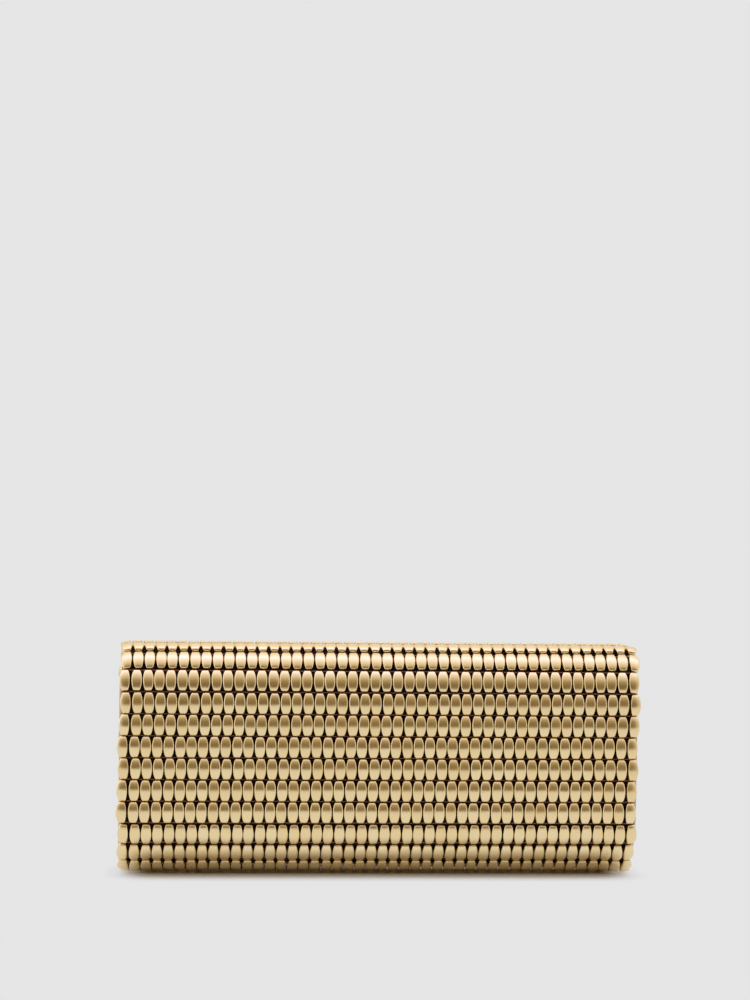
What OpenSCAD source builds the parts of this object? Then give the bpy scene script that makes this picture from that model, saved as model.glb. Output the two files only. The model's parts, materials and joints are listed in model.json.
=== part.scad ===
// Evening clutch covered in rows of long metallic beads. A stiffened body with its
// mouth on top is wrapped from back to front by the bead mesh, which rolls over the
// top and comes down the front as the flap. Front is -Y, up is +Z, lengths are in
// millimetres, and the origin is the middle of the footprint, on the standing surface.

/* [Beads] */
// Width of a row of beads, end to end
mesh_width = 250; // [200:1:300]
// Beads in each row
bead_count = 46; // [36:1:50]
// Length of one bead
bead_length = 10; // [8:0.1:10]
// Width of a bead at its middle
bead_width = 5.15; // [4:0.05:5.3]
// Width of a bead at its ends
bead_end_width = 3.4; // [2.5:0.1:3.9]
// Height of a bead above the cloth that it is strung on
bead_height = 3.6; // [2:0.1:4]
// How far the rows wander sideways, in a slow wave down the bag
row_wave = 0.65; // [0:0.05:1]
// How far each row is jogged against the one above it
row_jog = 0.45; // [0:0.05:0.8]
// Diameter of the cord between two rows
cord_diameter = 0.7; // [0.3:0.05:0.75]

/* [Cross-section] */
// Distance from one row of beads to the next, along the cloth
row_pitch = 10.45; // [10.4:0.01:10.6]
// Flat length across the top
top_flat = 7.6; // [7:0.1:9]
// Radius of the roll over the top
top_radius = 21.5; // [20:0.1:22]
// Length of the front face, from the roll to the base corner
face_run = 58; // [56:0.1:59]
// Bow of the faces: how far they turn from top to bottom, in degrees
face_bow = 5; // [1:0.1:8]
// Radius of the corners at the base
base_radius = 31.5; // [30.5:0.1:32]
// Forward lean of the front and back faces, in degrees
lean = 2; // [1:0.1:3]

/* [Layers] */
// Thickness of the cloth that carries the beads
cloth = 0.6; // [0.4:0.1:0.6]
// Thickness of the boards that stiffen the body and the flap
board = 1.2; // [1:0.1:1.4]
// Thickness of the lining
lining = 0.6; // [0.4:0.1:0.6]
// Thickness of the leather of the facing, side panels and bindings
leather = 0.8; // [0.6:0.1:1]
// Space between the closed flap and the body
flap_clearance = 0.6; // [0.5:0.1:1]
// Space left between two layers of one panel
layer_gap = 0.1; // [0.05:0.05:0.1]
// Inset of the boards from the ends of the bead rows
board_inset = 3; // [2.5:0.1:4]

/* [Closure] */
// Radius of a magnet
magnet_radius = 5; // [3:0.5:5]
// Distance of each magnet from the middle of the bag
magnet_offset = 62; // [30:1:90]
// Row of the front that the magnets lie behind
magnet_row = 9; // [6:1:9]

/* [Inner pocket] */
// Width of the slip pocket on the back wall
pocket_width = 140; // [80:1:200]
// How far the middle of each side panel dips below the mouth
gusset_dip = 9; // [0:1:20]

/* [Hidden] */
$fn = 96;
face_rows = 12;
roll_rows = 3;
bead_step = mesh_width / bead_count;

// Layers, as depths below the underside of the beads
cord_depth = 0.45;
cloth_in = 0.9;
cloth_out = cloth_in + cloth;
board_in = cloth_out + layer_gap;
board_out = board_in + board;
lining_in = board_out + layer_gap;
lining_out = lining_in + lining;
facing_in = lining_out + flap_clearance;
facing_out = facing_in + leather;
front_board_in = facing_out + layer_gap;
front_board_out = front_board_in + board;
front_lining_in = front_board_out + layer_gap;
front_lining_out = front_lining_in + lining;

// Widths: of the layers, between the outer faces of the flap's side bindings, and the
// place of each side panel's middle
board_width = mesh_width - 2 * board_inset;
binding_reach = mesh_width - 0.2;
cord_length = mesh_width - 2;
gusset_place = board_width / 2 + layer_gap + leather / 2;

// Gap between two layers that fold on each other, the part of the flap's free edge that
// its binding takes up, and how far a hole is cut past each face
hinge_gap = 0.2;
edge_trim = 1.4;
cut_past = 1;

// The underside of the beads, as [distance from the middle, height below the top] at a
// length s along half a cross-section. It is a short flat and then three arcs: the roll,
// the slightly bowed face and the base corner. Angles are turns from the level top.
function arc(radius, from, to) =
    [radius * (sin(to) - sin(from)), radius * (cos(to) - cos(from))];
function degrees(length, radius) = length / radius * 180 / PI;
function half_path(s, tip, run) =
    let (
        turn_a = 90 + tip - face_bow / 2,
        turn_b = turn_a + face_bow,
        face_radius = run / face_bow * 180 / PI,
        s_roll = s - top_flat / 2,
        s_face = s_roll - top_radius * turn_a * PI / 180,
        s_base = s_face - run,
        at_roll = [top_flat / 2, 0],
        at_face = at_roll + arc(top_radius, 0, turn_a),
        at_base = at_face + arc(face_radius, turn_a, turn_b)
    )
    s_roll < 0 ? [s, 0] :
    s_face < 0 ? at_roll + arc(top_radius, 0, degrees(s_roll, top_radius)) :
    s_base < 0 ? at_face + arc(face_radius, turn_a, turn_a + degrees(s_face, face_radius)) :
    at_base + arc(base_radius, turn_b, turn_b + degrees(s_base, base_radius));
function half_section(tip, run) =
    [for (k = [0:face_rows]) half_path((k + 0.5) * row_pitch, tip, run)];

// The back leans the same way as the front, so its face is a little shorter
front_half = half_section(lean, face_run);
back_half = half_section(-lean, face_run + 2 * (top_radius - base_radius) * lean * PI / 180);

// The closed outline of the cloth, one point where each two rows meet: down the front,
// across the base and up the back. Row r runs from point r to the next one.
top_height = bead_height - front_half[face_rows][1];
outline = concat(
    [for (p = front_half) [-p[0], top_height + p[1]]],
    [for (k = [face_rows:-1:0]) [back_half[k][0], top_height + back_half[k][1]]]
);
points = len(outline);
base_index = face_rows;
top_index = points - 1;
function along(r) =
    let (i = (r + points) % points, d = outline[(i + 1) % points] - outline[i]) d / norm(d);
function outward(r) = [along(r)[1], -along(r)[0]];

// Sideways place of each row, and the box of all the beads, to put the origin in its middle
function wander(r) = row_wave * sin(27 * (r + 1) + 40) - row_jog * sin(126 * (r + 1) + 78);
wanders = [for (r = [0:top_index]) wander(r)];
middle_x = (max(wanders) + min(wanders)) / 2;
bead_corners = [for (r = [0:top_index])
    let (mid = (outline[r] + outline[(r + 1) % points]) / 2)
    for (side = [-1, 1]) mid + side * bead_length / 2 * along(r) + bead_height * outward(r)];
middle_y = (max([for (c = bead_corners) c[0]]) + min([for (c = bead_corners) c[0]])) / 2;

// A point of the outline, moved in below the beads by a depth
function inner(r, depth) =
    let (i = (r + points) % points, a = outward(i - 1), b = outward(i))
    outline[i] - [middle_y, 0] - depth * (a + b) / (1 + a * b);

function arc_radius(half_chord, rise) = (half_chord ^ 2 + rise ^ 2) / (2 * rise);

// One bead: a barrel outline of two arcs between flat ends
module bead() {
    side_radius = arc_radius(bead_length / 2, (bead_width - bead_end_width) / 2);
    linear_extrude(bead_height)
        intersection() {
            both_sides() translate([bead_width / 2 - side_radius, 0]) circle(side_radius);
            square([bead_width, bead_length], center = true);
        }
}

// What its child and the child's mirror image have in common
module both_sides() {
    intersection() {
        children();
        mirror([1, 0]) children();
    }
}

// Puts its children on row r: X along the row, Y across it and Z out of the bag
module on_row(r) {
    mid = (outline[r] + outline[(r + 1) % points]) / 2;
    n = outward(r);
    translate([0, mid[0] - middle_y, mid[1]])
        rotate([atan2(-n[0], n[1]), 0, 0])
            children();
}

module bead_row(r) {
    color("#d8bb80")
        on_row(r)
            for (i = [0:bead_count - 1])
                translate([(i - (bead_count - 1) / 2) * bead_step + wander(r) - middle_x, 0, 0])
                    bead();
}

// Extrudes an outline of the cross-section across the bag, centred on x
module across(width, x = 0) {
    translate([x - width / 2, 0, 0])
        rotate([90, 0, 90])
            linear_extrude(width)
                children();
}

// A layer between two depths, from point a to point b of the outline, cut short at its ends
module layer(a, b, near, far, width, x = 0, cut_a = 0, cut_b = 0) {
    function place(r, depth) =
        inner(r, depth)
        + (r == a ? cut_a * along(a) : [0, 0])
        - (r == b ? cut_b * along(b - 1) : [0, 0]);
    across(width, x)
        polygon(concat(
            [for (r = [a:b]) place(r, near)],
            [for (r = [b:-1:a]) place(r, far)]
        ));
}

// Cords lie in the valley between two rows, on the line that the cloth folds along
module cords(a, b) {
    color("#7a5c56")
        for (r = [a:b])
            translate([0, inner(r, cord_depth)[0], inner(r, cord_depth)[1]])
                rotate([0, 90, 0])
                    cylinder(h = cord_length, d = cord_diameter, center = true);
}

// The roll over the top: the three rows at the top of the back, the top row and the two
// rows at the top of the front, each a strip that folds along its cords
function roll_row(i) = (top_index - roll_rows - 1 + i) % points;
module roll_cloth(i) {
    r = roll_row(i);
    color("#4a2c20") layer(r, r + 1, cloth_in, cloth_out, board_width, 0, hinge_gap, hinge_gap);
}
module roll_cord(i) {
    cords(roll_row(i) + 1, roll_row(i) + 1);
}

// The flap: from the third row of the front down to the last one, under the base corner
flap_start = roll_rows - 1;
flap_end = face_rows;
module flap_layer(near, far) {
    layer(flap_start, flap_end, near, far, board_width, 0, hinge_gap, edge_trim);
}
module flap_cloth() color("#4a2c20") flap_layer(cloth_in, cloth_out);
module flap_lining() color("#b7a48c") flap_layer(lining_in, lining_out);
module flap_cords() cords(flap_start + 1, flap_end - 1);

// Puts its children at the two magnets, at a depth below the row's beads
module magnets(depth) {
    for (side = [-1, 1])
        on_row(magnet_row - 1)
            translate([side * magnet_offset, 0, -depth])
                children();
}
module flap_board() {
    color("#a08a6c")
        difference() {
            flap_layer(board_in, board_out);
            magnets(board_out + cut_past)
                cylinder(h = board + 2 * cut_past, r = magnet_radius + layer_gap);
        }
}
module flap_magnets() color("silver") magnets(board_out) cylinder(h = board, r = magnet_radius);

// Leather folded round the two sides and the free edge of the flap
module flap_binding() {
    side = (binding_reach - board_width) / 2 - layer_gap;
    tip = edge_trim - layer_gap;
    color("#c8a882") {
        for (x = [-1, 1] * (binding_reach - side) / 2)
            layer(flap_start, flap_end, cloth_in, lining_out, side, x, hinge_gap, layer_gap);
        across(board_width + 2 * layer_gap)
            polygon([
                inner(flap_end, cloth_in) - tip * along(flap_end - 1),
                inner(flap_end, cloth_in) - layer_gap * along(flap_end - 1),
                inner(flap_end, lining_out) - layer_gap * along(flap_end - 1),
                inner(flap_end, lining_out) - tip * along(flap_end - 1)
            ]);
    }
}

// The body: base and back, wrapped in the same mesh, and the front behind the flap
mouth_front = roll_rows;
mouth_back = top_index - roll_rows;
module body_cloth() {
    color("#4a2c20")
        layer(base_index, mouth_back, cloth_in, cloth_out, board_width, 0, hinge_gap, hinge_gap);
}
module body_cords() cords(base_index, mouth_back);
module back_board() {
    color("#a08a6c")
        layer(base_index + 1, mouth_back, board_in, board_out, board_width, 0, layer_gap, hinge_gap);
}
module back_lining() {
    color("#b7a48c")
        layer(base_index + 1, mouth_back, lining_in, lining_out, board_width, 0, leather, hinge_gap);
}
module base_board() {
    color("#a08a6c")
        layer(base_index, base_index + 1, board_in, facing_out, board_width, 0, edge_trim, 0);
}
module base_lining() {
    color("#b7a48c")
        layer(base_index, base_index + 1, front_board_in, front_board_in + lining,
              board_width, 0, 0, leather);
}
module front_layer(near, far) layer(mouth_front, base_index, near, far, board_width);
module front_facing() color("#c8a882") front_layer(facing_in, facing_out);
module front_lining() color("#b7a48c") front_layer(front_lining_in, front_lining_out);
module front_board() {
    color("#a08a6c")
        difference() {
            front_layer(front_board_in, front_board_out);
            magnets(front_board_out + cut_past)
                cylinder(h = board + 2 * cut_past, r = magnet_radius + layer_gap);
        }
}
module front_magnets() {
    color("silver") magnets(front_board_out) cylinder(h = board, r = magnet_radius);
}

// A leather strip over the edge of the mouth, along the top of the front
module mouth_binding() {
    low = inner(mouth_front, facing_in) - layer_gap * along(mouth_front);
    deep = inner(mouth_front, front_lining_out) - layer_gap * along(mouth_front);
    rise = leather * along(mouth_front);
    color("#c8a882") across(board_width) polygon([low, deep, deep - rise, low - rise]);
}

module slip_pocket() {
    near = lining_out + layer_gap;
    color("#9c8468") layer(base_index + 4, mouth_back - 2, near, near + leather, pocket_width);
}

// A side panel closes each end of the body, with a dip in its top edge
module gusset(x) {
    front = [for (r = [mouth_front:base_index]) inner(r, facing_in)];
    back = [for (r = [base_index + 1:mouth_back]) inner(r, board_in)];
    dip = (front[0] + back[len(back) - 1]) / 2 - [0, gusset_dip];
    color("#c8a882") across(leather, x) polygon(concat(front, back, [dip]));
}
module gusset_left() gusset(-gusset_place);
module gusset_right() gusset(gusset_place);

bead_row(top_index);  // top_row
bead_row(base_index);  // base_row
for (i = [1:face_rows]) {
    bead_row(i - 1);
    bead_row(top_index - i);
}
for (i = [1:2 * roll_rows]) {
    roll_cloth(i);
    roll_cord(i);
}
flap_cloth();
flap_board();
flap_lining();
flap_cords();
flap_magnets();
flap_binding();
body_cloth();
body_cords();
back_board();
base_board();
front_board();
front_facing();
front_magnets();
mouth_binding();
back_lining();
base_lining();
front_lining();
slip_pocket();
gusset_left();
gusset_right();
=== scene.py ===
import json
import math
import bpy
import numpy as np
from mathutils import Matrix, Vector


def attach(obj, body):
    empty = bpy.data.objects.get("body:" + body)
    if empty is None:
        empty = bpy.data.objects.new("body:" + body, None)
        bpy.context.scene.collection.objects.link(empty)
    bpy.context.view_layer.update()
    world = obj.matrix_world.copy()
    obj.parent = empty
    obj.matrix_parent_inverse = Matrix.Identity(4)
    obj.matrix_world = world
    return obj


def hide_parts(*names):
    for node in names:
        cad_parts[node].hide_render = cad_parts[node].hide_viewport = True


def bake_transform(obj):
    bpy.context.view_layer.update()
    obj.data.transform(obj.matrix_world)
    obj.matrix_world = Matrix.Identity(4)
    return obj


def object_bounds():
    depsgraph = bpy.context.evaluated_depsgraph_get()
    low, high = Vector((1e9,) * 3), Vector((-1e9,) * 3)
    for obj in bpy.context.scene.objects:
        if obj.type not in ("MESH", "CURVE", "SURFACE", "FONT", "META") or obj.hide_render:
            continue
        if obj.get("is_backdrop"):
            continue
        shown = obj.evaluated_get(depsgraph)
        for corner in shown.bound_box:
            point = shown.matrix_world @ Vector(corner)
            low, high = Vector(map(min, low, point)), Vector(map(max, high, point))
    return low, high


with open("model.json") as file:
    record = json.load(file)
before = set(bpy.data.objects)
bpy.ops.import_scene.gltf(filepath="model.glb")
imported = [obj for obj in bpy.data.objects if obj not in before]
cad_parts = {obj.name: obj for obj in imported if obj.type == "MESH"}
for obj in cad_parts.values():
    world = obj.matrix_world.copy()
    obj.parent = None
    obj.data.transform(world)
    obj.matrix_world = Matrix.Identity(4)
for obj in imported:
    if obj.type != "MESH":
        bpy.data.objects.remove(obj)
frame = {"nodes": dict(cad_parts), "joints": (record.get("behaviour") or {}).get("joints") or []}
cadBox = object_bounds()
print("frame loaded:", len(frame["nodes"]), "nodes")

# The cross-section that the cloth follows under the beads, in metres and degrees
section = {
    "rows": 12,
    "rowPitch": 0.01045,
    "topFlat": 0.0076,
    "topRadius": 0.0215,
    "faceRun": 0.058,
    "faceBow": 5.0,
    "baseRadius": 0.0315,
    "lean": 2.0,
    "beadHeight": 0.0036,
    "rollRows": 3,
}


def arcStep(radius, start, length):
    # from angle start, a step of the given length round an arc: R (sin b - sin a), R (cos b - cos a)
    a = np.radians(start)
    b = a + length / radius
    return radius * np.stack([np.sin(b) - math.sin(a), np.cos(b) - math.cos(a)], -1)


def halfSection(lean, faceRun):
    # a level stretch and three arcs end to end; each takes its own share of the length so far
    s = (np.arange(section["rows"] + 1) + 0.5) * section["rowPitch"]
    turnA = 90 + lean - section["faceBow"] / 2
    rollRun = section["topRadius"] * math.radians(turnA)
    rest = s - section["topFlat"] / 2
    level = np.stack([np.minimum(s, section["topFlat"] / 2), 0 * s], -1)
    roll = arcStep(section["topRadius"], 0, np.clip(rest, 0, rollRun))
    faceRadius = faceRun / math.radians(section["faceBow"])
    face = arcStep(faceRadius, turnA, np.clip(rest - rollRun, 0, faceRun))
    base = arcStep(section["baseRadius"], turnA + section["faceBow"], np.maximum(rest - rollRun - faceRun, 0))
    return level + roll + face + base


lean = section["lean"]
frontHalf = halfSection(lean, section["faceRun"])
backRun = section["faceRun"] + 2 * (section["topRadius"] - section["baseRadius"]) * math.radians(lean)
backHalf = halfSection(-lean, backRun)
topHeight = section["beadHeight"] - frontHalf[-1, 1]

# one point where each two rows of beads meet: down the front, across the base, up the back
outline = np.concatenate([frontHalf * [-1, 1], backHalf[::-1]]) + [0, topHeight]
pointCount = len(outline)
baseIndex = section["rows"]
topIndex = pointCount - 1
mouthFront = section["rollRows"]
mouthBack = topIndex - section["rollRows"]
firstHinge = frame["joints"][0]["pos_m"]
outline[:, 0] += firstHinge[1] - outline[mouthBack, 0]
along = np.roll(outline, -1, 0) - outline
along /= np.linalg.norm(along, axis=1)[:, None]
outward = np.stack([along[:, 1], -along[:, 0]], -1)


def inner(index, depth):
    # outline point moved in below the beads, along the bisector of the two rows that meet there
    a = outward[(index - 1) % pointCount]
    b = outward[index % pointCount]
    return outline[index % pointCount] - depth * (a + b) / (1 + a @ b)


class Wire:
    # a socket that arithmetic can be done on: each operator adds its Math node
    def __init__(self, paint, socket):
        self.paint = paint
        self.socket = socket

    def maths(self, operation, first, second):
        return self.paint.maths(operation, first, second)

    def __add__(self, other):
        return self.maths("ADD", self, other)

    def __radd__(self, other):
        return self.maths("ADD", other, self)

    def __sub__(self, other):
        return self.maths("SUBTRACT", self, other)

    def __rsub__(self, other):
        return self.maths("SUBTRACT", other, self)

    def __mul__(self, other):
        return self.maths("MULTIPLY", self, other)

    def __rmul__(self, other):
        return self.maths("MULTIPLY", other, self)

    def __truediv__(self, other):
        return self.maths("DIVIDE", self, other)


class Paint:
    # one material, or the world, and the few ways its nodes are made
    def __init__(self, name, kind="materials"):
        self.material = getattr(bpy.data, kind).new(name)
        self.material.use_nodes = True
        self.tree = self.material.node_tree
        self.tree.nodes.clear()

    def node(self, kind, settings=None, sockets=None, out=0):
        made = self.tree.nodes.new(kind)
        for key, value in (settings or {}).items():
            if key == "ramp":
                for stop, (place, colour) in zip(self.rampStops(made, len(value)), value):
                    stop.position = place
                    stop.color = colour
            else:
                setattr(made, key, value)
        for key, value in (sockets or {}).items():
            if isinstance(value, Wire):
                self.tree.links.new(value.socket, made.inputs[key])
            else:
                made.inputs[key].default_value = value
        return Wire(self, made.outputs[out]) if made.outputs else made

    def rampStops(self, made, count):
        stops = made.color_ramp.elements
        while len(stops) < count:
            stops.new(0.5)
        return stops

    def maths(self, operation, first, second):
        return self.node("ShaderNodeMath", {"operation": operation}, {0: first, 1: second})

    def mix(self, factor, a, b, blend="MIX"):
        settings = {"data_type": "RGBA", "blend_type": blend}
        return self.node("ShaderNodeMix", settings, {0: factor, 6: a, 7: b}, 2)

    def place(self, scale, source="UV"):
        # UV maps are in metres, as Object coordinates are, so a scale is in turns per metre
        where = self.node("ShaderNodeTexCoord", out={"UV": 2, "Object": 3}[source])
        return self.node("ShaderNodeMapping", None, {0: where, 3: scale})

    def noise(self, scale, detail=2.0, source="UV"):
        sockets = {"Vector": self.place(scale, source), "Scale": 1.0, "Detail": detail}
        return self.node("ShaderNodeTexNoise", None, sockets)

    def ripple(self, direction, scale):
        sockets = {"Vector": self.place(scale), "Scale": 1.0}
        return self.node("ShaderNodeTexWave", {"bands_direction": direction}, sockets, 1)

    def remap(self, value, low, high, a=0.0, b=1.0):
        return self.node("ShaderNodeMapRange", None, {0: value, 1: low, 2: high, 3: a, 4: b})

    def bump(self, height, strength, distance):
        sockets = {"Strength": strength, "Distance": distance, "Height": height}
        return self.node("ShaderNodeBump", None, sockets)

    def finish(self, **sockets):
        named = {key.replace("_", " "): value for key, value in sockets.items()}
        shader = self.node("ShaderNodeBsdfPrincipled", None, named)
        self.node("ShaderNodeOutputMaterial", None, {"Surface": shader})
        return self.material


def colour(r, g, b):
    return (r, g, b, 1.0)


gold = {
    "pale": colour(0.995, 0.810, 0.480),
    "deep": colour(0.965, 0.735, 0.385),
    "olive": colour(0.87, 0.745, 0.435),
    "roughness": 0.17,
    "grainWidth": 0.00012,
    "grainLength": 0.0035,
}


def satinGold():
    paint = Paint("satinGold")
    tint = paint.node("ShaderNodeAttribute", {"attribute_name": "tint"}, out=2)
    scratch = paint.noise((1 / gold["grainWidth"], 1 / gold["grainLength"], 1), 3.0)
    cloudy = paint.noise((260, 160, 1), 2.0)
    warm = paint.mix(tint, gold["pale"], gold["deep"])
    base = paint.mix(paint.remap(cloudy, 0.35, 0.75, 0.0, 0.45), warm, gold["olive"])
    rough = gold["roughness"] + 0.12 * scratch + 0.06 * tint
    return paint.finish(
        Base_Color=paint.mix(0.12 * scratch, base, colour(0.62, 0.44, 0.2)),
        Metallic=1.0,
        Roughness=rough,
        Normal=paint.bump(scratch, 0.12, 0.00004),
    )


def clothPaint(name, light, dark, threads, roughness, sheen):
    paint = Paint(name)
    # a wave texture turns through 20 radians to a unit, so a scale of threads * pi / 10 gives that
    # many threads to a metre
    step = threads * math.pi / 10
    warp = paint.ripple("X", (step, step, step))
    weft = paint.ripple("Y", (step, step, step))
    slub = paint.noise((900, 70, 1), 3.0)
    worn = paint.noise((45, 45, 45), 3.0)
    # height is high where the threads cross over; the colour is painted lighter there and darker where they
    # dip under, which is painted shade, and the slub streaks add random tone
    height = warp * weft + 0.5 * (1 - warp) * (1 - weft)
    blend = paint.remap(height, 0.0, 1.0, 0.0, 0.8) * 0.6 + 0.4 * slub
    return paint.finish(
        Base_Color=paint.mix(paint.remap(worn, 0.3, 0.8, 0.0, 0.3), paint.mix(blend, dark, light), dark),
        Roughness=roughness + 0.08 * slub,
        Sheen_Weight=sheen,
        Specular_IOR_Level=0.25,
        Normal=paint.bump(height + 0.4 * slub, 0.5, 0.00015),
    )


def leatherPaint(name, light, dark, metal, roughness):
    paint = Paint(name)
    sockets = {"Vector": paint.place((1, 1, 1), "Object"), "Scale": 1500.0}
    pebble = paint.node("ShaderNodeTexVoronoi", {"feature": "DISTANCE_TO_EDGE"}, sockets)
    # crease is 0 along the creases between the pebbles; they sink in the bump, turn rougher, and are painted
    # darker in colour, which is painted shade
    crease = paint.remap(pebble, 0.0, 0.25)
    mottled = paint.noise((70, 70, 70), 4.0, "Object")
    pores = paint.noise((2600, 2600, 2600), 2.0, "Object")
    tone = paint.mix(paint.remap(mottled, 0.3, 0.75, 0.0, 0.35), light, dark)
    return paint.finish(
        Base_Color=paint.mix((1 - crease) * 0.4, tone, dark),
        Metallic=metal,
        Roughness=roughness + 0.15 * (1 - crease) + 0.08 * mottled,
        Coat_Weight=0.12,
        Coat_Roughness=0.35,
        Normal=paint.bump(crease + 0.4 * pores, 0.35, 0.00012),
    )


def fibreBoard():
    paint = Paint("fibreBoard")
    pulp = paint.noise((420, 420, 420), 6.0, "Object")
    fleck = paint.noise((2200, 900, 2200), 3.0, "Object")
    tone = paint.mix(paint.remap(pulp, 0.3, 0.7), colour(0.30, 0.22, 0.15), colour(0.42, 0.33, 0.23))
    return paint.finish(
        Base_Color=paint.mix(paint.remap(fleck, 0.6, 0.75, 0.0, 0.6), tone, colour(0.16, 0.11, 0.07)),
        Roughness=0.8 + 0.15 * pulp,
        Normal=paint.bump(pulp + 0.5 * fleck, 0.4, 0.0002),
    )


def nickel():
    paint = Paint("nickel")
    turned = paint.noise((3000, 300, 3000), 3.0, "Object")
    spots = paint.noise((500, 500, 500), 3.0, "Object")
    return paint.finish(
        Base_Color=paint.mix(paint.remap(spots, 0.4, 0.8), colour(0.66, 0.65, 0.63), colour(0.5, 0.49, 0.47)),
        Metallic=1.0,
        Roughness=0.2 + 0.2 * turned,
        Normal=paint.bump(turned, 0.1, 0.00005),
    )


def threadPaint(name, light, dark):
    # twisted strands, by slanted ridges on the piece's own UV map; the colour is lighter on the ridges and
    # darker in the grooves between them, which is painted shade
    paint = Paint(name)
    strands = paint.ripple("DIAGONAL", (900, 900, 0))
    fuzz = paint.noise((5000, 5000, 1), 2.0)
    return paint.finish(
        Base_Color=paint.mix(strands * 0.7 + 0.3 * fuzz, dark, light),
        Roughness=0.6 + 0.2 * fuzz,
        Sheen_Weight=0.15,
        Normal=paint.bump(strands + 0.3 * fuzz, 0.5, 0.0001),
    )


paints = {
    "beads": satinGold(),
    "cord": threadPaint("waxedCord", colour(0.40, 0.20, 0.15), colour(0.18, 0.08, 0.06)),
    "carrier_cloth": clothPaint("carrierCloth", colour(0.056, 0.019, 0.008), colour(0.020, 0.006, 0.002),
                                2200, 0.75, 0.1),
    "lining": clothPaint("liningTwill", colour(0.50, 0.37, 0.25), colour(0.36, 0.25, 0.16),
                         2600, 0.5, 0.3),
    "leather": leatherPaint("goldLeather", colour(0.74, 0.52, 0.36), colour(0.55, 0.37, 0.25), 0.55, 0.38),
    "pocket_leather": leatherPaint("pocketLeather", colour(0.36, 0.24, 0.15), colour(0.25, 0.16, 0.10),
                                   0.0, 0.5),
    "board": fibreBoard(),
    "magnet": nickel(),
    "thread": threadPaint("sewingThread", colour(0.62, 0.47, 0.31), colour(0.42, 0.30, 0.19)),
}
print("materials made:", len(paints))


def meshObject(name, points, faces, paint, uv=None, smooth=True):
    mesh = bpy.data.meshes.new(name)
    mesh.from_pydata(points.reshape(-1, 3).tolist(), [], faces)
    mesh.polygons.foreach_set("use_smooth", np.full(len(mesh.polygons), smooth))
    if uv is not None:
        corners = np.empty(len(mesh.loops), dtype=np.int32)
        mesh.loops.foreach_get("vertex_index", corners)
        layer = mesh.uv_layers.new(name="surface")
        layer.data.foreach_set("uv", uv.reshape(-1, 2)[corners].ravel().astype(np.float32))
    mesh.materials.append(paint)
    piece = bpy.data.objects.new(name, mesh)
    bpy.context.scene.collection.objects.link(piece)
    return piece


def gridQuads(m, n, wrap=False, start=0):
    # quads of an m by n grid of points; wrap joins the last column to the first
    i, j = np.meshgrid(np.arange(m - 1), np.arange(n if wrap else n - 1), indexing="ij")
    k = (j + 1) % n
    return (start + np.stack([i * n + j, i * n + k, (i + 1) * n + k, (i + 1) * n + j], -1)).reshape(-1, 4)


def rimOf(m, n):
    # indices round the border of an m by n grid, starting along its first row
    return np.concatenate([
        np.arange(n), np.arange(1, m) * n + n - 1,
        (m - 1) * n + np.arange(n - 2, -1, -1), np.arange(m - 2, 0, -1) * n,
    ])


def rimQuads(m, n):
    # quads that join the border of one grid to that of a second grid stored after it
    edge = rimOf(m, n)
    following = np.roll(edge, -1)
    return np.stack([edge, edge + m * n, following + m * n, following], -1)


def capped(m, n):
    # a tube of m rings of n points, closed by one face at each end
    ends = np.arange(n)
    return gridQuads(m, n, True).tolist() + [ends[::-1].tolist(), ((m - 1) * n + ends).tolist()]


def sweptPoints(x, yz):
    # the profile yz repeated at each x
    spread = np.broadcast_to(yz.T[:, None, :], (2, len(x), len(yz)))
    return np.stack([np.broadcast_to(x[:, None], spread.shape[1:]), *spread], -1)


def addPiece(piece, body, slot, *nodes):
    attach(piece, body)
    if nodes:
        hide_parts(*nodes)
    return piece


bead = {
    "count": 46,
    "meshWidth": 0.250,
    "length": 0.01028,
    "width": 0.00518,
    "endWidth": 0.0034,
    "endHeight": 0.0025,
    "sideBevel": 0.0005,
    "endBevel": 0.00028,
    "cornerPull": 0.0003,
    "baseInset": 0.0003,
    "jog": 0.00006,
    "turn": 2.2,
    "nod": 1.0,
    "skew": 0.9,
    "endTurn": 11.0,
    "endDrop": 0.0003,
    "endShift": 0.00028,
    "rowWave": 0.00065,
    "rowJog": 0.00045,
    "topSink": 0.0012,
    "topThin": 0.76,
    "shoulderNod": -5.0,
}


def beadShape():
    # top: a grid with a across and b along, both -1 to 1. Half width and height fall from the middle
    # with b squared, the corners pull in with a cubed, and a bevel drops away at the rim with a to
    # the 14th and b to the 24th.
    a = np.array([-1, -0.93, -0.72, 0.72, 0.93, 1.0])
    b = np.array([-1, -0.955, -0.8, -0.5, -0.17, 0.17, 0.5, 0.8, 0.955, 1.0])
    B, A = np.meshgrid(b, a, indexing="ij")
    half = bead["width"] / 2 - (bead["width"] - bead["endWidth"]) / 2 * B**2
    crown = section["beadHeight"] - (section["beadHeight"] - bead["endHeight"]) * B**2
    y = B * (bead["length"] / 2 - bead["cornerPull"] * np.abs(A) ** 3)
    top = np.stack([A * half, y, crown - bead["sideBevel"] * A**14 - bead["endBevel"] * B**24], -1)
    m, n = B.shape
    edge = rimOf(m, n)
    ring = top.reshape(-1, 3)[edge]
    shrink = 1 - 2 * bead["baseInset"] / np.array([bead["width"], bead["length"], 1])
    foot = ring * shrink * [1, 1, 0]
    points = np.concatenate([top.reshape(-1, 3), foot])
    count = len(edge)
    following = np.roll(np.arange(count), -1)
    skirt = np.stack([edge[following], edge, m * n + np.arange(count), m * n + following], -1)
    floor = m * n + np.arange(count)[::-1]
    return points, np.concatenate([gridQuads(m, n), skirt]), floor


def rotation(axis, angles):
    c, s, one, zero = np.cos(angles), np.sin(angles), np.ones_like(angles), np.zeros_like(angles)
    rows = {
        "x": [one, zero, zero, zero, c, -s, zero, s, c],
        "y": [c, zero, s, zero, one, zero, -s, zero, c],
        "z": [c, -s, zero, s, c, zero, zero, zero, one],
    }[axis]
    return np.stack(rows, -1).reshape(-1, 3, 3)


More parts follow.
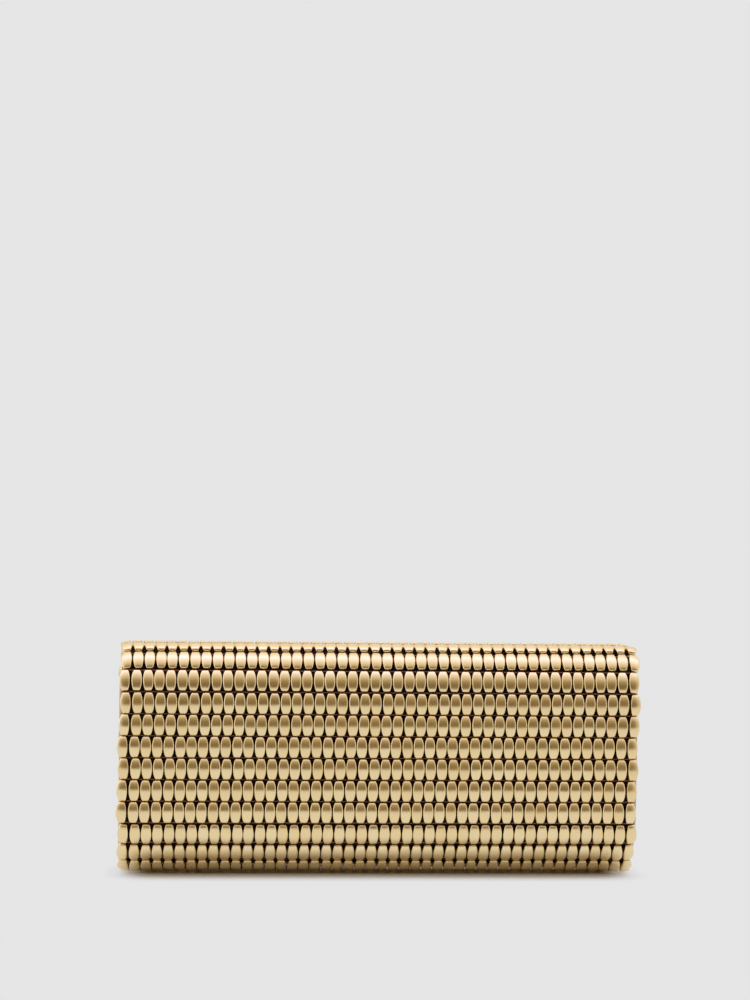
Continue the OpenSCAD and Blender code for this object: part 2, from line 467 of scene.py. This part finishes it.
rowIndices = np.arange(pointCount)
wander = (bead["rowWave"] * np.sin(np.radians(27 * (rowIndices + 1) + 40))
          - bead["rowJog"] * np.sin(np.radians(126 * (rowIndices + 1) + 78)))
wander -= (wander.max() + wander.min()) / 2
beadPoints, beadQuads, beadFloor = beadShape()


def beadRow(r, name, body, node):
    # the one bead, turned a little by chance, at each place along the row, then laid on the outline
    count = bead["count"]
    chance = np.random.default_rng(1000 + r)
    step = bead["meshWidth"] / count
    side = np.zeros(count)
    side[0], side[-1] = -1, 1
    turn = np.radians(bead["turn"] * chance.uniform(-1, 1, count) + bead["endTurn"] * side)
    nod = np.radians(bead["nod"] * chance.normal(0, 1, count) + (r == 0) * bead["shoulderNod"])
    skew = np.radians(bead["skew"] * chance.uniform(-1, 1, count))
    tint = np.clip(chance.normal(0.45, 0.28, count), 0, 1)
    x = (np.arange(count) - (count - 1) / 2) * step + wander[r] + bead["jog"] * chance.uniform(-1, 1, count)
    x -= bead["endShift"] * side
    y = bead["jog"] * chance.uniform(-1, 1, count)
    turned = rotation("z", skew) @ rotation("x", nod) @ rotation("y", turn)
    sunk = r == topIndex
    local = np.einsum("kij,vj->kvi", turned, beadPoints * [1, 1, bead["topThin"] if sunk else 1])
    local[..., 0] += x[:, None]
    local[..., 1] += y[:, None]
    local[..., 2] -= bead["endDrop"] * np.abs(side)[:, None] + bead["topSink"] * sunk
    mid = (outline[r] + outline[(r + 1) % pointCount]) / 2
    across, out = -along[r], outward[r]
    points = np.stack([
        local[..., 0],
        mid[0] + local[..., 1] * across[0] + local[..., 2] * out[0],
        mid[1] + local[..., 1] * across[1] + local[..., 2] * out[1],
    ], -1)
    starts = np.arange(count)[:, None, None] * len(beadPoints)
    quads = (beadQuads + starts).reshape(-1, 4).tolist()
    floors = (beadFloor + starts[:, 0]).tolist()
    uv = np.broadcast_to(beadPoints[None, :, :2], (count, len(beadPoints), 2))
    uv = uv + chance.uniform(0, 1, (count, 1, 2))
    piece = meshObject(name, points, quads + floors, paints["beads"], uv)
    shade = piece.data.attributes.new("tint", "FLOAT", "POINT")
    shade.data.foreach_set("value", np.repeat(tint, len(beadPoints)).astype(np.float32))
    return addPiece(piece, body, "beads", node)


rowBody = {(mouthBack + i - 1) % pointCount: f"roll_{i}" for i in range(1, 7)}
beadRow(topIndex, "topRowBeads", rowBody[topIndex], "top_row")
beadRow(baseIndex, "baseRowBeads", "case", "base_row")
for i in range(1, section["rows"] + 1):
    beadRow(i - 1, f"frontRow{i}Beads", rowBody.get(i - 1, "flap"), f"front_row_{i}")
    beadRow(topIndex - i, f"backRow{i}Beads", rowBody.get(topIndex - i, "case"), f"back_row_{i}")
print("bead rows laid:", pointCount)


cord = {"reach": 0.1238, "radius": 0.00030, "rise": 0.00022, "twist": 0.0022, "sides": 8, "station": 0.0009}


def cordTubes(name, indices, body, *nodes):
    # a tube along X whose radius swells twice round, turning as it goes, like two strands laid together
    stations = int(2 * cord["reach"] / cord["station"])
    x = np.linspace(-cord["reach"], cord["reach"], stations)
    angle = np.arange(cord["sides"]) / cord["sides"] * 2 * np.pi
    X, T = np.meshgrid(x, angle, indexing="ij")
    radius = cord["radius"] * (1 + 0.13 * np.cos(2 * (T - 2 * np.pi * X / cord["twist"])))
    points, faces, uvs = [], [], []
    for k, index in enumerate(indices):
        centre = inner(index, -cord["rise"])
        wobble = 0.00004 * np.sin(2 * np.pi * X / 0.0109 + index)
        y, z = centre[0] + radius * np.cos(T), centre[1] + wobble + radius * np.sin(T)
        points.append(np.stack([X, y, z], -1))
        start = k * X.size
        faces += gridQuads(stations, cord["sides"], True, start).tolist()
        ends = np.arange(cord["sides"])
        faces += [(start + ends[::-1]).tolist(), (start + X.size - len(ends) + ends).tolist()]
        uvs.append(np.stack([X, radius * T], -1))
    piece = meshObject(name, np.array(points), faces, paints["cord"], np.array(uvs))
    return addPiece(piece, body, "cord", *nodes)


flapStart = mouthFront - 1
flapEnd = section["rows"]
cordTubes("flapCords", range(flapStart + 1, flapEnd), "flap", "flap_cords")
cordTubes("bodyCords", range(baseIndex, mouthBack + 1), "case", "body_cords")
for i in range(1, 2 * section["rollRows"] + 1):
    cordTubes(f"rollCord{i}", [(mouthBack + i) % pointCount], f"roll_{i}", f"roll_cord_{i}")
print("cords made")


soft = {
    "width": 0.244,
    "columns": 62,
    "stepsPerRow": 5,
    "hingeGap": 0.0002,
    "edgeTrim": 0.0014,
    "cornerGap": 0.0008,
    "pocketWidth": 0.140,
}

# depths below the beads of each layer's two faces
depth = {
    "cloth": (0.0009, 0.0015),
    "lining": (0.0029, 0.0035),
    "facing": (0.0041, 0.0049),
    "frontLining": (0.0063, 0.0069),
    "baseLining": (0.0050, 0.0056),
    "pocket": (0.0036, 0.0044),
    "bindingOuter": (0.0009, 0.0035),
}


def sectionLine(a, b, level, cutA=0.0, cutB=0.0):
    # points along the outline from point a to b at one depth, evenly split, with rounded folds
    knots = np.array([inner(i, level) for i in range(a, b + 1)])
    knots[0] += cutA * along[a % pointCount]
    knots[-1] -= cutB * along[(b - 1) % pointCount]
    t = np.linspace(0, b - a, (b - a) * soft["stepsPerRow"] + 1)
    whole = np.minimum(t.astype(int), b - a - 1)
    part = (t - whole)[:, None]
    before = knots[np.maximum(whole - 1, 0)]
    p, q = knots[whole], knots[whole + 1]
    after = knots[np.minimum(whole + 2, b - a)]
    # Catmull-Rom: the cubic through p and q whose slopes come from the points on either side
    return 0.5 * (2 * p + (q - before) * part + (2 * before - 5 * p + 4 * q - after) * part**2
                  + (3 * p - before - 3 * q + after) * part**3)


def slab(name, body, slot, a, b, levels, width, node, cutA=0.0, cutB=0.0):
    # an outer and an inner grid, u across the bag and v along the section, joined by a rim. Each
    # face sinks 35 percent of the way to the middle at the rim, with u or v to the 40th.
    near = sectionLine(a, b, levels[0], cutA, cutB)
    far = sectionLine(a, b, levels[1], cutA, cutB)
    u = np.linspace(-1, 1, soft["columns"])
    u = np.sin(u * math.pi / 2) * 0.02 + u * 0.98
    rows = len(near)
    V, U = np.meshgrid(np.linspace(-1, 1, rows), u, indexing="ij")
    mid = (near + far) / 2
    thin = 1 - 0.35 * np.maximum(U**40, V**40)
    sheets = []
    for face in (near, far):
        half = (face - mid)[:, None, :] * thin[..., None]
        yz = mid[:, None, :] + half
        sheets.append(np.stack([U * width / 2, yz[..., 0], yz[..., 1]], -1))
    m, n = U.shape
    outer = gridQuads(m, n)
    faces = np.concatenate([outer[:, ::-1], outer + m * n, rimQuads(m, n)[:, ::-1]])
    run = np.concatenate([[0], np.cumsum(np.linalg.norm(np.diff(mid, axis=0), axis=1))])
    uv = np.stack([U * width / 2, np.broadcast_to(run[:, None], U.shape)], -1)
    piece = meshObject(name, np.array(sheets), faces.tolist(), paints[slot], np.array([uv, uv]))
    addPiece(piece, body, slot, node)
    return piece, (width, float(run[-1]))


def clothPiece(name, body, slot, a, b, levels, width, node, held, restsOn, **rest):
    piece, flat = slab(name, body, slot, a, b, levels, width, node, **rest)
    return piece


gap, trim = soft["hingeGap"], soft["edgeTrim"]
width = soft["width"]
clothPiece("flapCloth", "flap", "carrier_cloth", flapStart, flapEnd, depth["cloth"], width,
           "flap_cloth", "stretched", ["flap_board"], cutA=gap, cutB=trim)
clothPiece("bodyCloth", "case", "carrier_cloth", baseIndex, mouthBack, depth["cloth"], width,
           "body_cloth", "stretched", ["back_board"], cutA=gap, cutB=gap)
for i in range(1, 2 * section["rollRows"] + 1):
    start = (mouthBack + i - 1) % pointCount
    slab(f"rollCloth{i}", f"roll_{i}", "carrier_cloth", start, start + 1, depth["cloth"], width,
         f"roll_cloth_{i}", gap, gap)
clothPiece("flapLining", "flap", "lining", flapStart, flapEnd, depth["lining"], width,
           "flap_lining", "stretched", ["flap_board"], cutA=gap, cutB=trim)
clothPiece("backLining", "case", "lining", baseIndex + 1, mouthBack, depth["lining"], width,
           "back_lining", "stretched", ["back_board"], cutA=soft["cornerGap"], cutB=gap)
clothPiece("frontLining", "case", "lining", mouthFront, baseIndex, depth["frontLining"], width,
           "front_lining", "stretched", ["front_board"])
slab("baseLining", "case", "lining", baseIndex, baseIndex + 1, depth["baseLining"], width,
     "base_lining", 0.0, soft["cornerGap"])
slab("frontFacing", "case", "leather", mouthFront, baseIndex, depth["facing"], width, "front_facing")
slab("slipPocket", "case", "pocket_leather", baseIndex + 4, mouthBack - 2, depth["pocket"],
     soft["pocketWidth"], "slip_pocket")


def foldStrip(name, k):
    # a narrow strip of the cloth under each fold of the roll, bent over the fold
    index = (mouthBack + k) % pointCount
    before, after = along[index - 1], along[index]
    runs = np.linspace(-fold["reach"], fold["reach"], 9)[:, None]
    faces = [inner(index, d) + np.where(runs < 0, runs * before, runs * after) for d in fold["level"]]
    yz = np.concatenate([faces[0], faces[1][::-1]])
    points = sweptPoints(np.linspace(-soft["width"] / 2, soft["width"] / 2, fold["columns"]), yz)
    run = np.concatenate([runs[:, 0], runs[::-1, 0]])
    uv = np.stack([points[..., 0], np.broadcast_to(run, points.shape[:2])], -1)
    piece = meshObject(name, points, capped(*points.shape[:2]), paints["carrier_cloth"], uv)
    middle = inner(index, sum(fold["level"]) / 2)
    start, end = middle - fold["bend"] * before, middle + fold["bend"] * after
    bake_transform(piece)


fold = {"reach": 0.0015, "level": (0.00035, 0.0006), "bend": 0.0008, "columns": 40}
for k in range(2 * section["rollRows"] + 1):
    foldStrip(f"foldCloth{k + 1}", k)
print("cloth and lining made")


stitch = {"length": 0.0021, "pitch": 0.0030, "radius": 0.00022, "sides": 6}


def stitchRow(name, body, path, normal, offset=0.0):
    # a stitch at every pitch along the path, made of rings whose radius falls towards its ends as the
    # root of 1 less t to the 4th, and flattened a fifth in height
    path = np.asarray(path, float)
    steps = np.linalg.norm(np.diff(path, axis=0), axis=1)
    run = np.concatenate([[0], np.cumsum(steps)])
    count = max(2, int(run[-1] / stitch["pitch"]))
    at = (np.arange(count) + 0.5) * run[-1] / count
    centre = np.stack([np.interp(at, run, path[:, k]) for k in range(3)], -1)
    ahead = np.stack([np.interp(at + 1e-4, run, path[:, k]) for k in range(3)], -1)
    behind = np.stack([np.interp(at - 1e-4, run, path[:, k]) for k in range(3)], -1)
    tangent = ahead - behind
    tangent /= np.linalg.norm(tangent, axis=1)[:, None]
    up = np.stack([np.interp(at, run, np.asarray(normal, float)[:, k]) for k in range(3)], -1)
    up -= (up * tangent).sum(1)[:, None] * tangent
    up /= np.linalg.norm(up, axis=1)[:, None]
    side = np.cross(up, tangent)
    t = np.array([-1, -0.8, -0.35, 0.35, 0.8, 1.0])
    angle = np.arange(stitch["sides"]) / stitch["sides"] * 2 * np.pi
    T, A = np.meshgrid(t, angle, indexing="ij")
    radius = stitch["radius"] * np.sqrt(np.maximum(1 - T**4, 0.02))
    forward = T * stitch["length"] / 2
    points = (centre[:, None, None] + tangent[:, None, None] * forward[..., None]
              + side[:, None, None] * (radius * np.cos(A))[..., None]
              + up[:, None, None] * (offset + radius * np.sin(A) * 0.8)[..., None])
    m, n = T.shape
    quads = gridQuads(m, n, True)
    starts = np.arange(count)[:, None, None] * m * n
    faces = (quads + starts).reshape(-1, 4).tolist()
    ends = np.arange(n)
    faces += (starts[:, 0] + ends[::-1]).tolist() + (starts[:, 0] + (m - 1) * n + ends).tolist()
    uv = np.broadcast_to(np.stack([forward, radius * A], -1), points.shape[:-1] + (2,))
    piece = meshObject(name, points, faces, paints["thread"], uv)
    return addPiece(piece, body, "leather")


def facePath(a, b, level, x):
    line = sectionLine(a, b, level)
    return np.column_stack([np.full(len(line), x), line])


def faceNormal(a, b, sign):
    line = sectionLine(a, b, 0.0)
    tangent = np.gradient(line, axis=0)
    return np.column_stack([np.zeros(len(line)), sign * tangent[:, 1], -sign * tangent[:, 0]])


def crossPath(index, level, halfWidth, shift=0.0):
    point = inner(index, level) + shift * along[index % pointCount]
    x = np.linspace(-halfWidth, halfWidth, 60)
    return np.column_stack([x, np.full(60, point[0]), np.full(60, point[1])])


def crossNormal(index, sign):
    n = outward[index % pointCount] * sign
    return np.tile([0.0, n[0], n[1]], (60, 1))


binding = {"reach": 0.1249, "turnIn": 0.0052, "cover": 0.00035, "arc": 9, "columns": 50}


def sideBinding(name, side):
    # a strip whose profile goes over the outer face, round the edge and back over the lining; the
    # profile is given as steps across x and steps in depth, and is swept along the flap's section
    outer, innerLevel = depth["bindingOuter"]
    cover = binding["cover"]
    edge = binding["reach"]
    flat = soft["width"] / 2
    turnIn = flat - binding["turnIn"]
    turn = np.linspace(-math.pi / 2, math.pi / 2, binding["arc"])
    middle, radius = (outer + innerLevel) / 2, (innerLevel - outer) / 2
    xs = np.concatenate([
        [flat + 0.0001], edge - radius + radius * np.cos(turn),
        [turnIn, turnIn, flat + 0.0004, flat + 0.0001],
    ])
    ds = np.concatenate([
        [outer], middle + radius * np.sin(turn),
        [innerLevel + cover * 0.2, innerLevel + cover, innerLevel + cover, outer + 0.0012],
    ])
    lines = np.array([sectionLine(flapStart, flapEnd, level, gap, 0.0001) for level in ds])
    across = np.broadcast_to(side * xs[:, None], lines.shape[:2])
    points = np.stack([across, lines[..., 0], lines[..., 1]], -1).transpose(1, 0, 2)
    faces = capped(*points.shape[:2])
    if side > 0:
        faces = [face[::-1] for face in faces]
    piece = meshObject(name, points, faces, paints["leather"])
    return addPiece(piece, "flap", "leather", "flap_binding")


sideBinding("flapBindingLeft", -1)
sideBinding("flapBindingRight", 1)


def sweepAcross(name, body, slot, index, profile, halfWidth, *nodes):
    # a closed profile, given as depth below the beads and distance along the section from one
    # outline point, swept straight across the bag and closed at both ends
    profile = np.array(profile)
    yz = np.array([inner(index, d) for d in profile[:, 0]]) + profile[:, 1:] * along[index % pointCount]
    points = sweptPoints(np.linspace(-halfWidth, halfWidth, binding["columns"]), yz)
    length = np.concatenate([[0], np.cumsum(np.linalg.norm(np.diff(yz, axis=0), axis=1))])
    uv = np.stack([points[..., 0], np.broadcast_to(length, points.shape[:2])], -1)
    piece = meshObject(name, points, capped(*points.shape[:2]), paints[slot], uv)
    return addPiece(piece, body, slot, *nodes)


def roundedOver(outer, deep, top, skirt, thick):
    # down one face, over a half-round top, down the other face, and back inside its own thickness
    turn = np.linspace(-math.pi / 2, math.pi / 2, binding["arc"])
    middle, radius = (outer + deep) / 2, (deep - outer) / 2
    over = [(middle + radius * math.sin(a), top - radius * 0.45 * math.cos(a)) for a in turn]
    outside = [(outer, skirt), *over, (deep, skirt)]
    inside = [(deep - thick, skirt), (deep - thick, 0.0), (outer + thick, 0.0), (outer + thick, skirt)]
    return (outside + inside)[::-1]


mouth = {
    "outer": 0.00392,
    "deep": 0.00708,
    "skirt": 0.0042,
    "thick": 0.00016,
    "stitchAt": 0.0034,
    "half": 0.1218,
}
mouthProfile = roundedOver(mouth["outer"], mouth["deep"], 0.0, mouth["skirt"], mouth["thick"])
sweepAcross("mouthBinding", "case", "leather", mouthFront, mouthProfile, mouth["half"], "mouth_binding")

tip = {"deep": 0.00372, "turnIn": 0.0056, "half": 0.1220}
tipProfile = [
    (0.0009, -trim), (0.0009, -0.0005), (0.0012, -0.0002), (0.0031, -0.0002), (0.0035, -0.0005),
    (tip["deep"], -0.0008), (tip["deep"], -tip["turnIn"]), (0.0035, -tip["turnIn"] - 0.0001),
    (0.0035, -trim),
]
sweepAcross("flapTipBinding", "flap", "leather", flapEnd, tipProfile, tip["half"], "flap_binding")

gusset = {
    "fold": 0.0045,
    "ripple": 0.0004,
    "dip": 0.009,
    "place": 0.1225,
    "thick": 0.0008,
    "columns": 33,
    "frontDepth": 0.0041,
    "backDepth": 0.0016,
    "stitchDrop": 0.0024,
}


def sidePanel(name, side):
    # u runs from the front edge to the back edge and v from the base up. Ease is 1 less the root of
    # 0.94 u squared plus 0.03, so nearly 1 at the middle and nearly 0 at both edges. The top dips by
    # ease and v squared, and the panel folds inwards by ease and v to the 1.4, with a slight ripple
    # up its height.
    front = sectionLine(mouthFront, baseIndex, gusset["frontDepth"])[::-1]
    back = sectionLine(baseIndex + 1, mouthBack, gusset["backDepth"])
    v = np.linspace(0, 1, len(front))
    u = np.linspace(-1, 1, gusset["columns"])
    V, U = np.meshgrid(v, u, indexing="ij")
    share = ((U + 1) / 2)[..., None]
    yz = front[:, None] * (1 - share) + back[:, None] * share
    ease = 1 - np.sqrt(U**2 * 0.97 + 0.03 * (1 - U**2))
    low = yz[0, :, 1]
    height = yz[-1, :, 1] - low
    yz[..., 1] = low + (yz[..., 1] - low) * (1 - gusset["dip"] * ease / height * V**2)
    pull = gusset["fold"] * ease * V**1.4 + gusset["ripple"] * np.sin(V * 21) * ease * V
    shells = []
    for face in (1, -1):
        x = side * (gusset["place"] + face * gusset["thick"] / 2 - pull)
        shells.append(np.stack([x, yz[..., 0], yz[..., 1]], -1))
    m, n = U.shape
    outer = gridQuads(m, n)
    faces = np.concatenate([outer, outer[:, ::-1] + m * n, rimQuads(m, n)])
    if side < 0:
        faces = faces[:, ::-1]
    uv = np.stack([yz[..., 0], yz[..., 1]], -1)
    piece = meshObject(name, np.array(shells), faces.tolist(), paints["leather"], np.array([uv, uv]))
    addPiece(piece, "case", "leather", "gusset_left" if side < 0 else "gusset_right")
    path = shells[0][-1] - [0, 0, gusset["stitchDrop"]]
    stitchRow(name + "Stitches", "case", path, np.tile([float(side), 0, 0], (n, 1)), 0.00012)


sidePanel("sidePanelLeft", -1)
sidePanel("sidePanelRight", 1)

# how far each line of stitches is from the edge it follows, and how far it reaches from the middle
seam = {
    "flapSide": 0.0034,
    "mouthHalf": 0.120,
    "tipEdge": 0.0046,
    "tipHalf": 0.117,
    "pocketEdge": 0.0026,
    "pocketHalf": 0.068,
}

inward = depth["lining"][1] + binding["cover"]
for side, hand in ((-1, "Left"), (1, "Right")):
    path = facePath(flapStart, flapEnd, inward, side * (soft["width"] / 2 - seam["flapSide"]))
    stitchRow("flapStitches" + hand, "flap", path, faceNormal(flapStart, flapEnd, -1), 0.00005)

# name, body, point and depth of the seam, half its width, its shift along the section, the row it
# faces, and which way it faces
crossSeams = [
    ("mouthStitches", "case", mouthFront, mouth["outer"], seam["mouthHalf"], mouth["stitchAt"],
     mouthFront, 1),
    ("mouthInnerStitches", "case", mouthFront, mouth["deep"], seam["mouthHalf"], mouth["stitchAt"],
     mouthFront, -1),
    ("flapTipStitches", "flap", flapEnd, tip["deep"], seam["tipHalf"], -seam["tipEdge"], flapEnd - 1, -1),
    ("pocketStitches", "case", mouthBack - 2, depth["pocket"][1], seam["pocketHalf"], -seam["pocketEdge"],
     mouthBack - 3, -1),
]
for name, body, index, level, half, shift, row, sign in crossSeams:
    stitchRow(name, body, crossPath(index, level, half, shift), crossNormal(row, sign), 0.00004)
print("leather and stitches made")

# what stays as it is in CAD gets its own material
kept = {
    "board": ["flap_board", "back_board", "base_board", "front_board"],
    "magnet": ["flap_magnets", "front_magnets"],
}
for slotName, names in kept.items():
    for name in names:
        mesh = frame["nodes"][name].data
        mesh.materials.clear()
        mesh.materials.append(paints[slotName])


view = {
    "distance": 1.353,
    "azimuth": -4.16,
    "height": 0.1818,
    "aside": -0.0037,
    "roll": 0.6,
    "lens": 101.5,
}


def addCamera():
    turn = math.radians(view["azimuth"])
    front = outline[:, 0].min()
    data = bpy.data.cameras.new("camera")
    data.lens = view["lens"]
    data.sensor_width = 36.0
    data.clip_start = 0.01
    data.clip_end = 100.0
    camera = bpy.data.objects.new("camera", data)
    bpy.context.scene.collection.objects.link(camera)
    right = np.array([math.cos(turn), math.sin(turn)])
    back = np.array([math.sin(turn), -math.cos(turn)])
    x, y = np.array([0, front]) + view["distance"] * back + view["aside"] * right
    camera.matrix_world = (
        Matrix.Translation((x, y, view["height"]))
        @ Matrix.Rotation(turn, 4, "Z")
        @ Matrix.Rotation(math.pi / 2, 4, "X")
        @ Matrix.Rotation(math.radians(view["roll"]), 4, "Z")
    )
    bpy.context.scene.camera = camera


studio = {
    "backdrop": 0.787,
    "peak": 1.45,
    "sides": (1.05, 0.80),
    "sideStart": 0.55,
    "sideEnd": 0.88,
    "floorTone": 0.80,
    "floorFront": -0.375,
    "floorHalf": 30.0,
    "footprint": (0.108, 0.012),
    "shadowStart": 0.002,
    "shadowEnd": 0.027,
}

# the room as the beads see it, by the angle up from the front, over the top and down behind, in
# degrees, as fractions of the peak
room = [
    (0, 0.130, 0.085, 0.036), (14, 0.168, 0.120, 0.056), (31, 0.270, 0.220, 0.142), (50, 0.52, 0.48, 0.43),
    (66, 0.66, 0.62, 0.66), (80, 0.83, 0.80, 1.00), (94, 1.0, 0.97, 1.60), (108, 0.83, 0.79, 0.95),
    (122, 0.66, 0.63, 0.62), (145, 0.60, 0.575, 0.56), (180, 0.48, 0.465, 0.45),
]


def addStudio():
    scene = bpy.context.scene
    scene.view_settings.view_transform = "Standard"
    paint = Paint("studio", "worlds")
    toward = paint.node("ShaderNodeTexCoord")
    axis = [paint.node("ShaderNodeSeparateXYZ", None, {0: toward}, k) for k in range(3)]
    turn = paint.maths("ARCTAN2", axis[2], axis[1] * -1.0) / math.pi
    stops = [(angle / 180, colour(r, g, b)) for angle, r, g, b in room]
    sky = paint.node("ShaderNodeValToRGB", {"ramp": stops}, {0: turn})
    left, right = [colour(*[v / studio["peak"]] * 3) for v in studio["sides"]]
    for side, tone in ((axis[0] * -1.0, left), (axis[0], right)):
        sky = paint.mix(paint.remap(side, studio["sideStart"], studio["sideEnd"]), sky, tone)
    sky = paint.mix(1.0, sky, colour(*[studio["peak"]] * 3), "MULTIPLY")
    flat = colour(*[studio["backdrop"]] * 3)
    seen = paint.mix(paint.node("ShaderNodeLightPath"), sky, flat)
    shader = paint.node("ShaderNodeBackground", None, {0: seen})
    paint.node("ShaderNodeOutputWorld", None, {0: shader})
    scene.world = paint.material

    # the floor takes a shadow close round the bag, and glows at the backdrop's own tone farther off
    paint = Paint("paleFloor")
    place = paint.node("ShaderNodeTexCoord", out=3)
    apart = []
    for k, half in enumerate(studio["footprint"]):
        span = paint.maths("ABSOLUTE", paint.node("ShaderNodeSeparateXYZ", None, {0: place}, k), 0.0)
        apart.append(paint.maths("MAXIMUM", span - half, 0.0))
    far = paint.maths("SQRT", apart[0] * apart[0] + apart[1] * apart[1], 0.0)
    far = paint.node(
        "ShaderNodeMapRange", {"interpolation_type": "SMOOTHSTEP"},
        {0: far, 1: studio["shadowStart"], 2: studio["shadowEnd"], 3: 0.0, 4: 1.0},
    )
    cloudy = paint.noise((3, 3, 3), 2.0, "Object")
    tone = studio["floorTone"]
    shade = paint.mix(cloudy, colour(tone, tone, tone), colour(tone * 0.99, tone * 0.985, tone * 0.98))
    matt = paint.node("ShaderNodeBsdfDiffuse", None, {0: shade})
    glow = paint.node("ShaderNodeEmission", None, {0: flat})
    both = paint.node("ShaderNodeMixShader", None, {0: far, 1: matt, 2: glow})
    paint.node("ShaderNodeOutputMaterial", None, {0: both})
    half = studio["floorHalf"]
    edge = studio["floorFront"]
    corners = np.array([[-half, edge, 0], [half, edge, 0], [half, half, 0], [-half, half, 0]])
    meshObject("floor", corners, [[0, 1, 2, 3]], paint.material, smooth=False)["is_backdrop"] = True


addCamera()
addStudio()

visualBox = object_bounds()
boxes = {"cad": cadBox, "visual": visualBox}
{key: [list(map(float, corner)) for corner in box] for key, box in boxes.items()}
